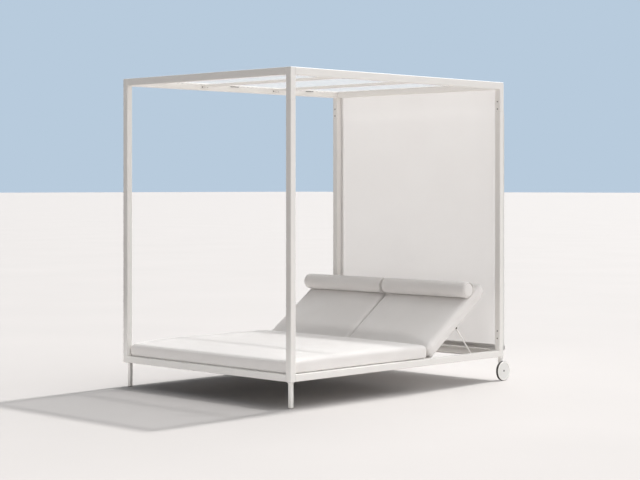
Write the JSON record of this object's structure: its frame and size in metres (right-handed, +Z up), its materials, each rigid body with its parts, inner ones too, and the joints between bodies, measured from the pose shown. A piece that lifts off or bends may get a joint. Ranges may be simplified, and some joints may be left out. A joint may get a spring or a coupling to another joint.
{
  "type": "outdoor daybed with canopy",
  "caption": "Wide outdoor daybed in a square-tube canopy frame, with a slatted deck, mattress, split reclining backs on prop bails, bolsters, fabric roof and back panel, and wheels at the head.",
  "frame": {"origin": "on the floor, under the middle of the overall box, in the middle plane between the two places", "axes": "+X to the right seen from the foot end, +Y from the foot end to the wheeled head end, +Z up"},
  "size_m": [1.724, 2.201, 2.15],
  "materials": {
    "coat": "satin",
    "screw_steel": "satin",
    "rod_steel": "satin",
    "tyre_rubber": "matte",
    "wheel_plastic": "satin",
    "glide_plastic": "matte",
    "roof_fabric": "matte",
    "panel_fabric": "matte",
    "cushion_fabric": "matte"
  },
  "bodies": {
    "frame": {"axle_left": "screw_steel", "axle_right": "screw_steel", "back_panel": "panel_fabric", "base_corner_foot_left": "coat", "base_corner_foot_right": "coat", "base_corner_head_left": "coat", "base_corner_head_right": "coat", "base_rail_foot": "coat", "base_rail_head": "coat", "base_rail_left": "coat", "base_rail_right": "coat", "centre_rail": "coat", "foot_glide_left": "glide_plastic", "foot_glide_right": "glide_plastic", "foot_leg_left": "coat", "foot_leg_right": "coat", "hem_bar": "coat", "hinge_rod": "rod_steel", "lower_sleeve_foot_left": "screw_steel", "lower_sleeve_foot_right": "screw_steel", "lower_sleeve_head_left": "screw_steel", "lower_sleeve_head_right": "screw_steel", "mattress": "cushion_fabric", "post_foot_left": "coat", "post_foot_right": "coat", "post_head_left": "coat", "post_head_right": "coat", "rack_left": "coat", "rack_right": "coat", "roof_bar_foot": "coat", "roof_bar_head": "coat", "roof_sheet": "roof_fabric", "seat_deck": "coat", "top_corner_foot_left": "coat", "top_corner_foot_right": "coat", "top_corner_head_left": "coat", "top_corner_head_right": "coat", "top_rail_foot": "coat", "top_rail_head": "coat", "top_rail_left": "coat", "top_rail_right": "coat", "upper_sleeve_foot_left": "screw_steel", "upper_sleeve_foot_right": "screw_steel", "upper_sleeve_head_left": "screw_steel", "upper_sleeve_head_right": "screw_steel", "wheel_leg_left": "coat", "wheel_leg_right": "coat"},
    "back_left": {"back_frame_left": "coat", "back_pad_left": "cushion_fabric", "bolster_left": "cushion_fabric"},
    "bail_left": {"prop_bail_left": "coat"},
    "wheel_left": {"tyre_left": "tyre_rubber", "wheel_disc_left": "wheel_plastic"},
    "back_right": {"back_frame_right": "coat", "back_pad_right": "cushion_fabric", "bolster_right": "cushion_fabric"},
    "bail_right": {"prop_bail_right": "coat"},
    "wheel_right": {"tyre_right": "tyre_rubber", "wheel_disc_right": "wheel_plastic"}
  },
  "joints": [
    {"name": "back_left_recline", "type": "hinge", "parent": "frame", "child": "back_left", "pos_m": [-0.3855, 0.3095, 0.205], "axis": [1, 0, 0], "range_deg": [-35.2, 10]},
    {"name": "bail_left_fold", "type": "hinge", "parent": "back_left", "child": "bail_left", "pos_m": [-0.3925, 0.61348, 0.39863], "axis": [1, 0, 0], "range_deg": [-23.9, 84.1]},
    {"name": "wheel_left_roll", "type": "hinge", "parent": "frame", "child": "wheel_left", "pos_m": [-0.8495, 1.0305, 0.07], "axis": [1, 0, 0], "continuous": true},
    {"name": "back_right_recline", "type": "hinge", "parent": "frame", "child": "back_right", "pos_m": [0.3855, 0.3095, 0.205], "axis": [1, 0, 0], "range_deg": [-35.2, 10]},
    {"name": "bail_right_fold", "type": "hinge", "parent": "back_right", "child": "bail_right", "pos_m": [0.3925, 0.61348, 0.39863], "axis": [1, 0, 0], "range_deg": [-23.9, 84.1]},
    {"name": "wheel_right_roll", "type": "hinge", "parent": "frame", "child": "wheel_right", "pos_m": [0.8495, 1.0305, 0.07], "axis": [1, 0, 0], "continuous": true}
  ],
  "couplings": [
    {"joint": "bail_left_fold", "follows": "back_left_recline", "ratio": -2.3862},
    {"joint": "bail_right_fold", "follows": "back_right_recline", "ratio": -2.3862}
  ]
}
